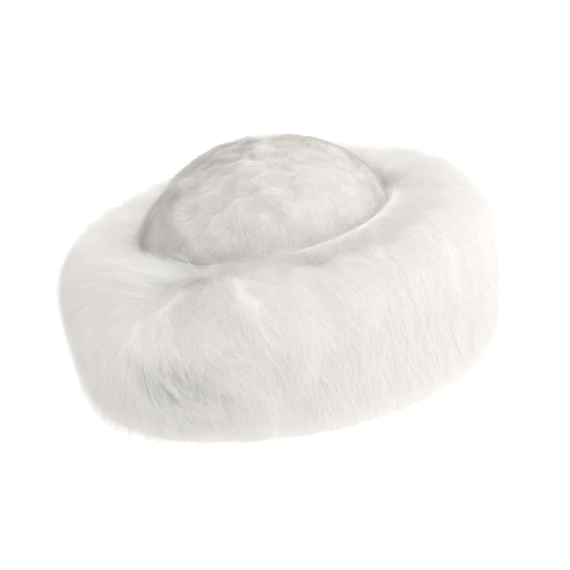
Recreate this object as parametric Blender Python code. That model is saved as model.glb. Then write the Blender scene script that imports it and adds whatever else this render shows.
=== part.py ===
"""A fur hat: a domed crown of short pile, open below for the head, in a deep cuff of long fur.

Lengths are in metres and +Z is up. The wearer looks along -Y, and the hat rests on the flat
underside of its cuff at z = 0. Sections are taken round an oval: angle 0 is the +X side, 90 the
back and 270 the front. Run it with blender --background --python part.py.
"""

import math
import random
from collections import namedtuple

import bmesh
import bpy
from mathutils import Matrix, Vector

# The band that goes round the head, as an oval: 57 cm round inside.
HEAD_HALF_WIDTH = 0.0830
HEAD_HALF_LENGTH = 0.0975
BAND_WALL = 0.0025

# The crown's dome stands on the band. Its wall is the pelt with its short pile.
DOME_FOOT = 0.107
DOME_HALF_WIDTH = 0.0868
DOME_HALF_LENGTH = 0.0996
CROWN_HEIGHT = 0.1685
DOME_WALL = 0.0080
HEAD_ROOM = 0.060  # height up to which the band keeps the head's full size

# The cuff's outer form, at the tips of the fur.
CUFF_WIDTH = 0.0782  # from the band's outside to the fur's outside
CUFF_HEIGHT = 0.1185
CORNER_FULLNESS = 0.0035  # how much further the fur stands out between front, side and back
RIGHT_IS_HIGHER = 0.0055
BACK_IS_HIGHER = 0.0040
LEFT_IS_WIDER = 0.0023
BACK_IS_WIDER = 0.0015
SHOULDER_RADIUS = 0.045
FOOT_RADIUS = 0.026
LIP_RADIUS = 0.010  # where the fur's top turns down to the crown
INWARD_TAPER = 0.0045  # how far the outer wall leans in towards the floor
SEWING_GAP = 0.0003  # between the crown and the cuff

# The parting at the cuff's seam, to the left of the front.
SEAM_ANGLE = math.radians(242)
SEAM_HALF_WIDTH = 0.010
SEAM_DEPTH = 0.014
SEAM_DEEPEST = 0.028  # how far along the fur, from the lip, the dent is deepest
SEAM_REACH = 0.024
SWEEP_REACH = 0.065  # how far from the seam the locks are combed away from it
SWEEP_ANGLE = math.radians(70)
SWEEP_FADE = 0.150  # how far down the fur the combing has faded out
SEAM_LOCKS = 5  # along each side of the parting
SEAM_LOCK_SPACING = 0.013
SEAM_LOCK_OFFSET = 0.005  # from the seam to the locks' roots
SEAM_LOCK_SIZE = 0.70

# The locks of fur. They rise from a backing, which lies this far inside the tips.
LOCK_RISE = 0.0048
LOCK_ROOT_DEPTH = 0.0030
LOCK_LENGTH = 0.062
LOCK_WIDTH = 0.035
LOCK_FLOOR = 0.0006  # no lock comes nearer to the floor than this
WAYWARDNESS = math.radians(16)
SEED = 12

# The rows of locks, from the crown outwards and down: where their roots are along the fur, as a
# share of the way from the lip to the underside, how many there are, and their size.
Row = namedtuple("Row", "share count size")
LOCK_ROWS = (
    Row(share=0.02, count=17, size=0.80),
    Row(share=0.14, count=21, size=0.92),
    Row(share=0.27, count=25, size=1.00),
    Row(share=0.40, count=29, size=1.00),
    Row(share=0.51, count=31, size=0.92),
    Row(share=0.62, count=32, size=0.70),
)

# One lock's sections from root to tip: how far along it, how wide, and how high its ridge and its
# edges stand over the backing, each as a share of the lock's own size. The edges stay inside the
# backing, so that no lock closes a pocket of air under itself.
LockSection = namedtuple("LockSection", "along width ridge edge")
LOCK_SECTIONS = (
    LockSection(along=0.33, width=0.80, ridge=0.35, edge=-0.25),
    LockSection(along=0.70, width=1.00, ridge=0.90, edge=-0.20),
)
LOCK_TIP_HEIGHT = 0.50
LOCK_TIP_HEEL = 0.94  # where the tip's underside goes back into the backing

# How many facets each form has.
SIDES = 48  # round each oval
OUTER_DOME_RINGS = 9
INNER_DOME_RINGS = 7
LIP_STEPS = 3
BACKING_STEPS = 9  # over the fur, from the lip to the underside

Section = namedtuple("Section", "width height shoulder foot taper")


def clear_scene():
    for thing in list(bpy.data.objects):
        bpy.data.objects.remove(thing)


def material(name, colour, roughness):
    made = bpy.data.materials.new(name)
    made.use_nodes = True
    shader = made.node_tree.nodes["Principled BSDF"]
    shader.inputs["Base Color"].default_value = (*colour, 1.0)
    shader.inputs["Roughness"].default_value = roughness
    shader.inputs["Metallic"].default_value = 0.0
    return made


def smooth_step(value):
    value = min(1.0, max(0.0, value))
    return value * value * (3 - 2 * value)


def blend(low, high, share):
    return low + (high - low) * share


def oval_point(angle, half_width, half_length):
    return Vector((half_width * math.cos(angle), half_length * math.sin(angle), 0))


def oval_normal(angle, half_width, half_length):
    across = Vector((math.cos(angle) / half_width, math.sin(angle) / half_length, 0))
    return across.normalized()


def add_object(name, mesh):
    made = bpy.data.objects.new(name, mesh)
    bpy.context.scene.collection.objects.link(made)
    return made


def finish(thing, its_material, sharp_from):
    thing.data.materials.clear()
    thing.data.materials.append(its_material)
    thing.data.shade_smooth()
    thing.data.set_sharp_from_angle(angle=sharp_from)


def mesh_of(name, form):
    bmesh.ops.recalc_face_normals(form, faces=form.faces)
    mesh = bpy.data.meshes.new(name)
    form.to_mesh(mesh)
    form.free()
    return mesh


def bridge(form, lower, upper):
    """A band of faces between two rings of as many points."""
    for here in range(len(lower)):
        after = (here + 1) % len(lower)
        form.faces.new((lower[here], lower[after], upper[after], upper[here]))


def close_with_point(form, ring, point):
    top = form.verts.new(point)
    for here in range(len(ring)):
        form.faces.new((ring[here], ring[(here + 1) % len(ring)], top))


def dome_levels(foot, top, count):
    """Heights up a dome with the width there as a share of the foot's, without the pole."""
    for step in range(count):
        turn = math.pi / 2 * step / count
        yield blend(foot, top, math.sin(turn)), math.cos(turn)


def crown_shell():
    """The shell: outside from hem to pole, inside from hem to pole, and a flat hem between them."""
    hem_width = HEAD_HALF_WIDTH + BAND_WALL
    hem_length = HEAD_HALF_LENGTH + BAND_WALL
    outside = [(0.0, hem_width, hem_length)]
    for level, share in dome_levels(DOME_FOOT, CROWN_HEIGHT, OUTER_DOME_RINGS):
        outside.append((level, DOME_HALF_WIDTH * share, DOME_HALF_LENGTH * share))

    inner_width = DOME_HALF_WIDTH - DOME_WALL
    inner_length = DOME_HALF_LENGTH - DOME_WALL
    inside = [(level, HEAD_HALF_WIDTH, HEAD_HALF_LENGTH) for level in (0.0, HEAD_ROOM)]
    for level, share in dome_levels(DOME_FOOT, CROWN_HEIGHT - DOME_WALL, INNER_DOME_RINGS):
        inside.append((level, inner_width * share, inner_length * share))

    form = bmesh.new()
    rings = {}
    for name, levels in (("outside", outside), ("inside", inside)):
        rings[name] = []
        for level, half_width, half_length in levels:
            ring = []
            for side in range(SIDES):
                place = oval_point(2 * math.pi * side / SIDES, half_width, half_length)
                ring.append(form.verts.new(place + Vector((0, 0, level))))
            rings[name].append(ring)
        for lower, upper in zip(rings[name], rings[name][1:]):
            bridge(form, lower, upper)
    close_with_point(form, rings["outside"][-1], (0, 0, CROWN_HEIGHT))
    close_with_point(form, rings["inside"][-1], (0, 0, CROWN_HEIGHT - DOME_WALL))
    bridge(form, rings["outside"][0], rings["inside"][0])
    return mesh_of("crown", form)


def tip_section(angle):
    """The cuff's section at this angle, at the tips of the fur."""
    to_right, to_back = math.cos(angle), math.sin(angle)
    between = (1 - math.cos(4 * angle)) / 2
    return Section(
        width=CUFF_WIDTH
        + CORNER_FULLNESS * between
        - LEFT_IS_WIDER * to_right
        + BACK_IS_WIDER * to_back,
        height=CUFF_HEIGHT + RIGHT_IS_HIGHER * to_right + BACK_IS_HIGHER * to_back,
        shoulder=SHOULDER_RADIUS,
        foot=FOOT_RADIUS,
        taper=INWARD_TAPER,
    )


def backing_section(angle):
    """The same section where the locks have their roots. The underside stays on the floor."""
    tips = tip_section(angle)
    return tips._replace(
        width=tips.width - LOCK_RISE,
        height=tips.height - LOCK_RISE,
        shoulder=tips.shoulder - LOCK_RISE,
        foot=tips.foot - LOCK_RISE,
    )


def fur_length(section):
    """How far it is over the section, from the lip to where the foot meets the floor."""
    top = section.width - section.shoulder - LIP_RADIUS
    wall = section.height - section.shoulder - section.foot
    return top + math.pi / 2 * (section.shoulder + section.foot) + wall


def along_section(section, along):
    """(offset from the band, height, turn of the normal from level) that far along the fur.

    Short of 0 it is on the lip, which turns down to the band.
    """
    if along < 0:
        turn = math.pi / 2 + min(-along / LIP_RADIUS, math.pi / 2)
        offset = LIP_RADIUS * (1 + math.cos(turn))
        return offset, section.height - LIP_RADIUS * (1 - math.sin(turn)), turn
    top = section.width - section.shoulder - LIP_RADIUS
    shoulder = math.pi / 2 * section.shoulder
    wall = section.height - section.shoulder - section.foot
    if along <= top:
        return LIP_RADIUS + along, section.height, math.pi / 2
    along -= top
    if along <= shoulder:
        turn = math.pi / 2 - along / section.shoulder
        offset = section.width - section.shoulder * (1 - math.cos(turn))
        return offset, section.height - section.shoulder * (1 - math.sin(turn)), turn
    along -= shoulder
    if along <= wall:
        lean = section.taper * along / wall
        return section.width - lean, section.height - section.shoulder - along, 0.0
    turn = -min((along - wall) / section.foot, math.pi / 2)
    offset = section.width - section.taper - section.foot * (1 - math.cos(turn))
    return offset, section.foot * (1 + math.sin(turn)), turn


def from_seam(angle):
    """Signed distance round the cuff from its seam, measured at the middle of the fur."""
    turn = (angle - SEAM_ANGLE + math.pi) % (2 * math.pi) - math.pi
    return turn * (DOME_HALF_WIDTH + CUFF_WIDTH / 2)


def seam_dent(angle, along):
    across = math.exp(-((from_seam(angle) / SEAM_HALF_WIDTH) ** 2))
    return SEAM_DEPTH * across * math.exp(-(((along - SEAM_DEEPEST) / SEAM_REACH) ** 2))


def band_half_width(height):
    """Half the width of the hole that the crown goes through, and half its length."""
    share = min(1.0, height / DOME_FOOT)
    across = blend(HEAD_HALF_WIDTH + BAND_WALL, DOME_HALF_WIDTH, share)
    length = blend(HEAD_HALF_LENGTH + BAND_WALL, DOME_HALF_LENGTH, share)
    return across + SEWING_GAP, length + SEWING_GAP


def on_cuff(angle, offset, height):
    across, length = band_half_width(height)
    outwards = oval_normal(angle, across, length)
    return oval_point(angle, across, length) + outwards * offset + Vector((0, 0, height))


def on_backing(angle, along, rise):
    """A point that far over the backing, and never below the floor."""
    offset, height, turn = along_section(backing_section(angle), along)
    rise -= seam_dent(angle, along)
    offset += rise * math.cos(turn)
    height += rise * math.sin(turn)
    return on_cuff(angle, offset, max(height, LOCK_FLOOR))


def cuff_backing():
    """A closed ring round the crown: a flat underside, a straight hole and a rounded outside."""
    form = bmesh.new()
    rings = []
    for side in range(SIDES):
        angle = 2 * math.pi * side / SIDES
        section = backing_section(angle)
        length = fur_length(section)
        ring = [on_cuff(angle, 0.0, 0.0), on_cuff(angle, 0.0, section.height / 2)]
        for step in range(LIP_STEPS):
            along = -math.pi / 2 * LIP_RADIUS * (1 - step / LIP_STEPS)
            ring.append(on_backing(angle, along, 0.0))
        for step in range(BACKING_STEPS):
            ring.append(on_backing(angle, length * step / BACKING_STEPS, 0.0))
        offset, _, _ = along_section(section, length)
        ring.append(on_cuff(angle, offset, 0.0))
        rings.append([form.verts.new(point) for point in ring])
    for here in range(SIDES):
        bridge(form, rings[here], rings[(here + 1) % SIDES])
    return mesh_of("cuff", form)


def combed_direction(angle, along):
    """How far a lock turns from straight outwards and down: away from the seam, on both sides."""
    distance = from_seam(angle)
    reach = math.exp(-((distance / SWEEP_REACH) ** 2))
    fade = 1 - smooth_step(along / SWEEP_FADE)
    side = math.tanh(distance / SEAM_HALF_WIDTH)
    return SWEEP_ANGLE * side * reach * fade


def add_lock(form, angle, along, size, turn):
    """One lock: a leaf with a ridge along it, whose tip stands a little off the backing."""
    length, width = LOCK_LENGTH * size, LOCK_WIDTH * size
    across, _ = band_half_width(CUFF_HEIGHT)

    def place(forward, sideways, rise):
        onward = forward * math.cos(turn) - sideways * math.sin(turn)
        around = forward * math.sin(turn) + sideways * math.cos(turn)
        offset, _, _ = along_section(backing_section(angle), along + onward)
        there = angle + around / (across + offset)
        return form.verts.new(on_backing(there, along + onward, rise))

    root = place(0.0, 0.0, -LOCK_ROOT_DEPTH)
    rings = []
    for section in LOCK_SECTIONS:
        forward = section.along * length
        half = section.width * width / 2
        edge = section.edge * LOCK_RISE
        rings.append(
            (
                place(forward, -half, edge),
                place(forward, 0.0, section.ridge * LOCK_RISE),
                place(forward, half, edge),
            )
        )
    tip = place(length, 0.0, LOCK_TIP_HEIGHT * LOCK_RISE)
    heel = place(LOCK_TIP_HEEL * length, 0.0, -LOCK_ROOT_DEPTH)
    for lower, upper in zip(rings, rings[1:]):
        bridge(form, lower, upper)
    left, ridge, right = rings[0]
    for corner, after in ((left, ridge), (ridge, right), (right, left)):
        form.faces.new((root, corner, after))
    left, ridge, right = rings[-1]
    for corner, after in ((left, ridge), (ridge, right)):
        form.faces.new((after, corner, tip))
    form.faces.new((tip, left, heel))
    form.faces.new((right, tip, heel))
    form.faces.new((heel, left, right))


def locks_of(row, number, chance):
    """One ring of locks, each half a place round from those of the row before."""
    for place in range(row.count):
        shift = 0.5 * (number % 2) + chance.uniform(-0.12, 0.12)
        angle = 2 * math.pi * (place + shift) / row.count
        length = fur_length(backing_section(angle))
        along = (row.share + chance.uniform(-0.02, 0.02)) * length
        turn = combed_direction(angle, along) + chance.uniform(-1, 1) * WAYWARDNESS
        yield angle, along, row.size * chance.uniform(0.92, 1.08), turn


def seam_locks(chance):
    """The locks on both sides of the parting, which lie away from it."""
    for side in (-1, 1):
        for place in range(SEAM_LOCKS):
            along = (place + chance.uniform(0.0, 0.4)) * SEAM_LOCK_SPACING
            angle = SEAM_ANGLE + side * SEAM_LOCK_OFFSET / (DOME_HALF_WIDTH + CUFF_WIDTH / 2)
            turn = side * SWEEP_ANGLE * (1 - along / SWEEP_FADE)
            yield angle, along, SEAM_LOCK_SIZE * chance.uniform(0.9, 1.1), turn


def fuse_locks(cuff):
    """Joins all the locks to the backing, so that the cuff is one body."""
    chance = random.Random(SEED)
    places = list(seam_locks(chance))
    for number, row in enumerate(LOCK_ROWS):
        places.extend(locks_of(row, number, chance))
    locks = bpy.data.collections.new("locks")
    for angle, along, size, turn in places:
        form = bmesh.new()
        add_lock(form, angle, along, size, turn)
        locks.objects.link(bpy.data.objects.new("lock", mesh_of("lock", form)))
    joining = cuff.modifiers.new("join_locks", "BOOLEAN")
    joining.operation = "UNION"
    joining.operand_type = "COLLECTION"
    joining.collection = locks
    joining.solver = "MANIFOLD"  # the exact solver leaves open edges where many locks cross
    evaluated = cuff.evaluated_get(bpy.context.evaluated_depsgraph_get())
    cuff.data = bpy.data.meshes.new_from_object(evaluated)
    cuff.modifiers.clear()
    for lock in list(locks.objects):
        bpy.data.objects.remove(lock)


def remove_pockets(cuff):
    """Locks that lie across each other can close a pocket of air: only the outer shell stays."""
    form = bmesh.new()
    form.from_mesh(cuff.data)
    waiting = set(form.faces)
    shells = []
    while waiting:
        shell = [waiting.pop()]
        for face in shell:
            for edge in face.edges:
                joined = waiting.intersection(edge.link_faces)
                waiting -= joined
                shell.extend(joined)
        shells.append(shell)
    outer = max(shells, key=len)
    for shell in shells:
        if shell is not outer:
            bmesh.ops.delete(form, geom=shell, context="FACES")
    form.to_mesh(cuff.data)
    form.free()


def centre(*things):
    """Puts the origin under the middle of the whole hat, on the floor."""
    points = [vertex.co for thing in things for vertex in thing.data.vertices]
    middle = Vector((0, 0, 0))
    for axis in (0, 1):
        reach = [point[axis] for point in points]
        middle[axis] = (min(reach) + max(reach)) / 2
    for thing in things:
        thing.data.transform(Matrix.Translation(-middle))


def main():
    clear_scene()
    crown = add_object("crown", crown_shell())
    cuff = add_object("cuff", cuff_backing())
    fuse_locks(cuff)
    remove_pockets(cuff)
    centre(crown, cuff)
    finish(crown, material("short white pile", (0.80, 0.78, 0.75), 0.9), math.radians(50))
    finish(cuff, material("long white fur", (0.84, 0.82, 0.79), 0.9), math.radians(60))


main()
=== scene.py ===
# %% [markdown]
# # A cossack hat in white fur
#
# The hat has two pieces: a low domed crown of short pile, and a deep cuff of long, soft fur round
# it. Nothing on it is hard, so nearly all of its look is hair: which way it lies, how it gathers
# in tufts, and how light goes on through it. Lengths are in metres unless a name says otherwise.

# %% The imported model
import math
import bpy
import numpy as np
from mathutils import Matrix, Vector, noise


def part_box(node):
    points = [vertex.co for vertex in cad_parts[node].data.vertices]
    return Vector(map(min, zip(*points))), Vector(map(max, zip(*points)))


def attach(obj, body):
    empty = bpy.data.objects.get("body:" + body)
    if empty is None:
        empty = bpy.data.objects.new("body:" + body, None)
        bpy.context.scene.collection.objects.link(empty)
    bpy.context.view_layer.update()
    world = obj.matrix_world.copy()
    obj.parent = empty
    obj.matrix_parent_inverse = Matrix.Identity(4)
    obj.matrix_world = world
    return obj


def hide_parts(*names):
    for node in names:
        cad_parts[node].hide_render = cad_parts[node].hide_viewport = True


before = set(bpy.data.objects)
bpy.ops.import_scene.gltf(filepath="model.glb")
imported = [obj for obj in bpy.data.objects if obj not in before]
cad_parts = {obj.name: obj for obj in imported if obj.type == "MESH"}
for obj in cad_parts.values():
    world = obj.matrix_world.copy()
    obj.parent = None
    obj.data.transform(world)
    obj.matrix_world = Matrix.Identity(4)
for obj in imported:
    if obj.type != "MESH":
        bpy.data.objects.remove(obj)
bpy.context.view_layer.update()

# %% [markdown]
# ## Where the hat is
#
# The solids give the places. The cuff's section is drawn round the oval of the crown, so the
# middle of the crown's box is the middle of every curve below.

# %% The middle of the crown
crown_low, crown_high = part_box("crown")
MIDDLE = (crown_low + crown_high) / 2
CROWN_TOP = crown_high.z
print("middle of the crown:", round(MIDDLE.x, 4), round(MIDDLE.y, 4), "top:", round(CROWN_TOP, 4))

# %% [markdown]
# ## The camera
#
# A long lens from 1.2 m keeps the hat's form calm. The photograph shows the hat turned a little
# anticlockwise. The hat itself rests level here, so it is the camera that rolls.

# %% The camera at the photograph's angle
VIEW_DISTANCE = 1.2
VIEW_ELEVATION = math.radians(17.8)
VIEW_ROLL = math.radians(-8.7)
LENS_MM = 103.0
AIM_HEIGHT = 0.07
AIM_RIGHT = 0.0045  # how far right of the middle, and below it, the picture's centre lies
AIM_DOWN = 0.0112

view_back = Vector((0, -math.cos(VIEW_ELEVATION), math.sin(VIEW_ELEVATION)))
view_right = Vector((1, 0, 0))
view_up = view_back.cross(view_right)
turn = Matrix((view_right, view_up, view_back)).transposed() @ Matrix.Rotation(VIEW_ROLL, 3, "Z")
aim = Vector((MIDDLE.x, MIDDLE.y, AIM_HEIGHT)) + turn @ Vector((AIM_RIGHT, -AIM_DOWN, 0))
camera = bpy.data.objects.new("camera", bpy.data.cameras.new("camera"))
camera.data.lens = LENS_MM
camera.matrix_world = Matrix.Translation(aim + view_back * VIEW_DISTANCE) @ turn.to_4x4()
bpy.context.scene.collection.objects.link(camera)
bpy.context.scene.camera = camera
print("camera at", [round(v, 3) for v in camera.matrix_world.translation])

# %% [markdown]
# ## Two helpers
#
# Colours are written as sRGB hex, as one reads them off a screen, and one function turns them to
# the linear values that a shader wants. The other helper adds a node, in shaders and in geometry
# alike: it takes the settings by name, and for each input a value, a socket or another node.

# %% Colours and nodes
def colour(hex_code):
    parts = [int(hex_code[place:place + 2], 16) / 255 for place in (1, 3, 5)]
    linear = [p / 12.92 if p <= 0.04045 else ((p + 0.055) / 1.055) ** 2.4 for p in parts]
    return (*linear, 1.0)


def add_node(tree, kind, inputs=None, **settings):
    """Adds a node. An input takes a value, a socket, or a node, whose first live output it uses."""
    made = tree.nodes.new(kind)
    for name, value in settings.items():
        setattr(made, name, value)
    for name, value in (inputs or {}).items():
        if isinstance(value, bpy.types.Node):
            value = next(socket for socket in value.outputs if socket.enabled)
        if isinstance(value, bpy.types.NodeSocket):
            tree.links.new(value, made.inputs[name])
        else:
            made.inputs[name].default_value = value
    return made


# %% [markdown]
# ## Finish: alpaca fleece
#
# Long huacaya alpaca is a fine, hollow, medullated fibre with hardly any gloss. Light enters a
# strand and leaves it on the far side, so a white fleece is bright even in its hollows, and its
# edge glows against the ground. Each strand is a flat ribbon here, so half of its light goes
# through it. The roots are a little creamier than the bleached tips.
#
# The crown's fleece is sheared and its pile reflects a little less. Its colours are greyer as well,
# as painted shade for the shade that its cut ends throw on one another and that the cuff's roll
# throws on the crown. Its blotches are smaller and darker: partly the pile's own tint, partly
# painted shade of the nap's hollows. The dense down under both coats lets no light through. Under
# the crown it is darker, a brownish tint with painted shade of the hollows between the hairs.

# %% The finishes of the fur
FLEECE_ROUGHNESS, FLEECE_GLOSS = 0.85, 0.2
NOISE_LOW, NOISE_HIGH = 0.35, 0.65  # nearly all of the noise lies between these
LONG_BLOTCH = {"blotch_size": 0.030, "blotch_depth": 0.03}
# The pile's blotches are partly its own tint and partly painted shade of the nap's hollows.
SHORT_BLOTCH_AND_HOLLOW_SHADE = {"blotch_size": 0.014, "blotch_depth": 0.12}


def fleece(name, root_hex, tip_hex, through, blotch_size, blotch_depth):
    """A fleece from its two colours and the share of light that goes through a strand."""
    made = bpy.data.materials.new(name)
    made.use_nodes = True
    tree = made.node_tree
    tree.nodes.clear()
    along = add_node(tree, "ShaderNodeAttribute", attribute_name="along")
    root_to_tip = add_node(tree, "ShaderNodeMix", {0: along.outputs["Fac"]}, data_type="RGBA")
    root_to_tip.inputs[6].default_value = colour(root_hex)
    root_to_tip.inputs[7].default_value = colour(tip_hex)
    place = add_node(tree, "ShaderNodeTexCoord").outputs["Object"]
    blotches = add_node(tree, "ShaderNodeTexNoise", {"Vector": place, "Scale": 1 / blotch_size,
                                                     "Detail": 3.0})
    depth = add_node(tree, "ShaderNodeMapRange", {"Value": blotches.outputs[0],
                                                  1: NOISE_LOW, 2: NOISE_HIGH,
                                                  3: 1 - blotch_depth, 4: 1.0})
    shade = add_node(tree, "ShaderNodeVectorMath", {0: root_to_tip.outputs[2], "Scale": depth},
                     operation="SCALE")
    surface = add_node(tree, "ShaderNodeBsdfPrincipled", {
        "Base Color": shade, "Roughness": FLEECE_ROUGHNESS, "Specular IOR Level": FLEECE_GLOSS,
    })
    beyond = add_node(tree, "ShaderNodeBsdfTranslucent", {"Color": shade})
    both = add_node(tree, "ShaderNodeMixShader", {0: through, 1: surface, 2: beyond})
    add_node(tree, "ShaderNodeOutputMaterial", {"Surface": both})
    return made


long_fur = fleece("long_alpaca_fleece", "#FCF7F3", "#FDF9F5", through=0.50, **LONG_BLOTCH)
long_down = fleece("long_alpaca_down", "#F3EEEA", "#F3EEEA", through=0.0, **LONG_BLOTCH)
# The crown's down is darker: a brownish tint, and painted shade of the hollows between the pile's
# hairs.
short_down_tint_and_shade = fleece("sheared_alpaca_down", "#D7D3D0", "#D7D3D0", through=0.0, **SHORT_BLOTCH_AND_HOLLOW_SHADE)
# The pile is greyer: partly its own lower reflectance, partly painted shade from the cuff's roll and
# from its cut ends.
short_pile_tone_and_shade = fleece("sheared_alpaca_pile", "#E4E1DF", "#ECEAE8", through=0.38, **SHORT_BLOTCH_AND_HOLLOW_SHADE)
print("finishes:", [made.name for made in (long_fur, long_down, short_down_tint_and_shade, short_pile_tone_and_shade)])

# %% [markdown]
# ## The form of the cuff
#
# The real cuff is one long strip of pelt, sewn in a ring and folded over, and the fur fills its
# form out to a boxy roll. The skin that carries the hairs is worked out as a grid: once round the
# head, and in section from the lip by the crown over the shoulder and down to the foot.

# %% The cuff's measures, and how deep its skin lies
BAND_HALF_WIDTH, BAND_HALF_LENGTH = 0.0855, 0.1000
DOME_HALF_WIDTH, DOME_HALF_LENGTH = 0.0868, 0.0996
DOME_FOOT = 0.107
CUFF_WIDTH, CUFF_HEIGHT = 0.0782, 0.1185
CORNER_FULLNESS = 0.0035
RIGHT_IS_HIGHER, BACK_IS_HIGHER = 0.0055, 0.0040
LEFT_IS_WIDER, BACK_IS_WIDER = 0.0023, 0.0015
SHOULDER_RADIUS, FOOT_RADIUS, LIP_RADIUS = 0.041, 0.026, 0.005
ROUNDER_AT_RIGHT, ROUNDEST = 0.007, math.radians(-40)  # the foot, at the front on the right
INWARD_TAPER, LESS_TAPER_AT_RIGHT = 0.0045, 0.0040
SEAM_ANGLE = math.radians(242)
SEAM_HALF_WIDTH, SEAM_DEPTH = 0.0035, 0.0010
SEAM_DEEPEST, SEAM_REACH = 0.030, 0.007
FUR_DEPTH, FUR_DEPTH_AT_LIP = 0.0040, 0.0024  # from the tips down to the skin
DEEPER_AT_LEFT, DEEPER_AT_FOOT = 0.0015, 0.0040
SHALLOWER_BEHIND_LEFT, BEHIND_LEFT = 0.0025, math.radians(140)
SHALLOWER_AT_RIGHT = 0.0015
FLARE, FLARE_ANGLE, FLARE_REACH = 0.011, math.radians(200), math.radians(34)
FUR_DEPTH_AT_FLARE = 0.0045  # by the crown's flared foot, where the hair is shorter
FUR_DEPTH_BEHIND = 0.0240  # by the lip behind the crown, at its right, where the fur has a valley
BEHIND_RIGHT, BEHIND_REACH = math.radians(32), math.radians(27)
MIDDLE_RADIUS = DOME_HALF_WIDTH + CUFF_WIDTH / 2


def smooth_step(value, low=0.0, high=1.0):
    share = np.clip((value - low) / (high - low), 0.0, 1.0)
    return share * share * (3 - 2 * share)


def at_front_right(angle):
    return np.maximum(np.cos(angle - ROUNDEST), 0.0)


def cuff_section(angle, inset):
    """Width, height, shoulder and foot radius of the section, that far inside the fur's tips."""
    between = (1 - np.cos(4 * angle)) / 2
    width = CUFF_WIDTH + CORNER_FULLNESS * between
    width = width - LEFT_IS_WIDER * np.cos(angle) + BACK_IS_WIDER * np.sin(angle) - inset
    height = CUFF_HEIGHT + RIGHT_IS_HIGHER * np.cos(angle) + BACK_IS_HIGHER * np.sin(angle) - inset
    foot = FOOT_RADIUS + ROUNDER_AT_RIGHT * at_front_right(angle)
    return width, height, SHOULDER_RADIUS - inset, foot - inset


def cuff_length(angle, inset):
    width, height, shoulder, foot = cuff_section(angle, inset)
    straight = (width - shoulder - LIP_RADIUS) + (height - shoulder - foot)
    return straight + math.pi / 2 * (shoulder + foot)


def on_cuff(angle, along, inset):
    """Points of the skin, from their angle round the head and their way over the section."""
    width, height, shoulder, foot = cuff_section(angle, inset)
    top = width - shoulder - LIP_RADIUS
    wall = height - shoulder - foot
    at_wall = top + math.pi / 2 * shoulder
    lip_turn = np.clip(-along / LIP_RADIUS, 0.0, math.pi / 2)
    shoulder_turn = np.clip((along - top) / shoulder, 0.0, math.pi / 2)
    foot_turn = np.clip((along - at_wall - wall) / foot, 0.0, math.pi / 2)
    down_wall = np.clip(along - at_wall, 0.0, wall)
    out = LIP_RADIUS * (1 - np.sin(lip_turn)) + np.clip(along, 0.0, top)
    taper = INWARD_TAPER - LESS_TAPER_AT_RIGHT * at_front_right(angle)
    out = out + shoulder * np.sin(shoulder_turn) - taper * down_wall / wall
    out = out - foot * (1 - np.cos(foot_turn))
    level = height - LIP_RADIUS * (1 - np.cos(lip_turn)) - shoulder * (1 - np.cos(shoulder_turn))
    level = level - down_wall - foot * np.sin(foot_turn)
    share = np.clip(level / DOME_FOOT, 0.0, 1.0)
    half_width = BAND_HALF_WIDTH + (DOME_HALF_WIDTH - BAND_HALF_WIDTH) * share
    half_length = BAND_HALF_LENGTH + (DOME_HALF_LENGTH - BAND_HALF_LENGTH) * share
    across, ahead = np.cos(angle) / half_width, np.sin(angle) / half_length
    reach = np.hypot(across, ahead)
    x = MIDDLE.x + half_width * np.cos(angle) + across / reach * out
    y = MIDDLE.y + half_length * np.sin(angle) + ahead / reach * out
    return np.stack([x, y, level], axis=-1)


def near_angle(angle, middle, reach):
    """1 at that angle round the head, fading to 0 on both sides of it."""
    difference = (angle - middle + math.pi) % (2 * math.pi) - math.pi
    return np.exp(-((difference / reach) ** 2))


def from_seam(angle):
    return ((angle - SEAM_ANGLE + math.pi) % (2 * math.pi) - math.pi) * MIDDLE_RADIUS


print("the fur is", round(float(cuff_length(0.0, FUR_DEPTH)) * 1000), "mm over the section")

# %% [markdown]
# ## Which way the hair lies
#
# The strip's ends meet to the left of the front. There the hair parts: it lies to the left on one
# side of the seam and to the right on the other, and turns to hang down within a hand's width.
# Everywhere else it runs out over the shoulder and down, with slow eddies. Low beside the seam a
# few locks were never combed out, and cross the others.

# %% The lie of the hair over the cuff
SWEEP_REACH, SWEEP_ANGLE = 0.085, math.radians(78)
SWEEP_FADE, SWEEP_LOSS = 0.125, 0.75  # this far over the section, that share of the sweep is lost
EDDY_ANGLE, EDDY_SIZE, EDDY_SEED = math.radians(24), 0.036, 3
CROSSING_ANGLE = math.radians(65)
CROSSING_PLACE, CROSSING_SIZE = (-0.010, 0.110), (0.024, 0.020)  # from the seam, and from the lip
WAVES, WAVE_PEAK = 24, 1.6


def slow_noise(angle, along, seed, size):
    """A smooth field in -1 to 1 that closes on itself round the head, with features of that size."""
    chance = np.random.default_rng(seed)
    turns = np.maximum(1, np.round(chance.uniform(0.5, 1.5, WAVES) * MIDDLE_RADIUS / size))
    pace = chance.uniform(-1.3, 1.3, WAVES) / size
    phase = chance.uniform(0, 2 * math.pi, WAVES)
    total = sum(np.sin(t * angle + p * along + f) for t, p, f in zip(turns, pace, phase))
    return total / math.sqrt(WAVES / 2) / WAVE_PEAK


def patch(away, along, place, size):
    """1 at one place of the cuff, fading to 0 round it."""
    return np.exp(-(((away - place[0]) / size[0]) ** 2) - ((along - place[1]) / size[1]) ** 2)


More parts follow.
